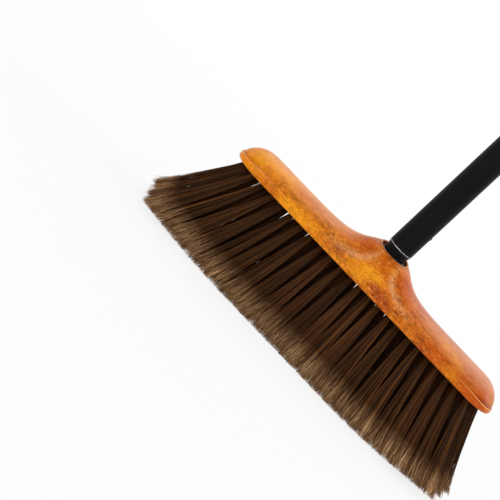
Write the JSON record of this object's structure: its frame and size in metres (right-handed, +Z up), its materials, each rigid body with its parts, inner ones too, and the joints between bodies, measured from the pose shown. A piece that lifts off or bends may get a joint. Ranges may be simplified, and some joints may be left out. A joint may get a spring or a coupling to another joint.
{
  "type": "long-handled broom",
  "caption": "Floor broom: shaped wooden head with flared rows of brown bristle tufts, on a black steel pole with a domed, ribbed grip, that screws into the head's neck.",
  "frame": {"origin": "on the floor under the axis of the pole, in the middle of the bristle tips", "axes": "+Z up along the pole, +X along the head, +Y across the head to its back"},
  "size_m": [0.3326, 0.0708, 1.3255],
  "materials": {
    "stained_wood": "orange-brown stain under clear lacquer",
    "black_plastic": "moulded, satin",
    "bristle_fibre": "fine dark brown fibre, paler split tips",
    "grey_rubber": "matt",
    "black_paint": "satin black coat",
    "grip_plastic": "moulded, fine matt texture"
  },
  "bodies": {
    "head": {"head_block": "stained_wood", "socket_insert": "black_plastic", "bristle_row_front": "bristle_fibre", "bristle_row_mid_front": "bristle_fibre", "bristle_row_mid_back": "bristle_fibre", "bristle_row_back": "bristle_fibre"},
    "washer": {"collar_washer": "grey_rubber"},
    "pole": {"threaded_tip": "black_plastic", "pole_tube": "black_paint", "grip": "grip_plastic"}
  },
  "joints": [
    {"name": "pole_lift", "type": "slide", "parent": "head", "child": "washer", "axis": [0, 0, 1], "range_m": [0, 0.025]},
    {"name": "pole_turn", "type": "hinge", "parent": "washer", "child": "pole", "pos_m": [0, 0, 0.115], "axis": [0, 0, 1], "range_deg": [0, 1801]}
  ],
  "couplings": [
    {"joint": "pole_turn", "follows": "pole_lift", "rad_per_m": 1256.6}
  ]
}
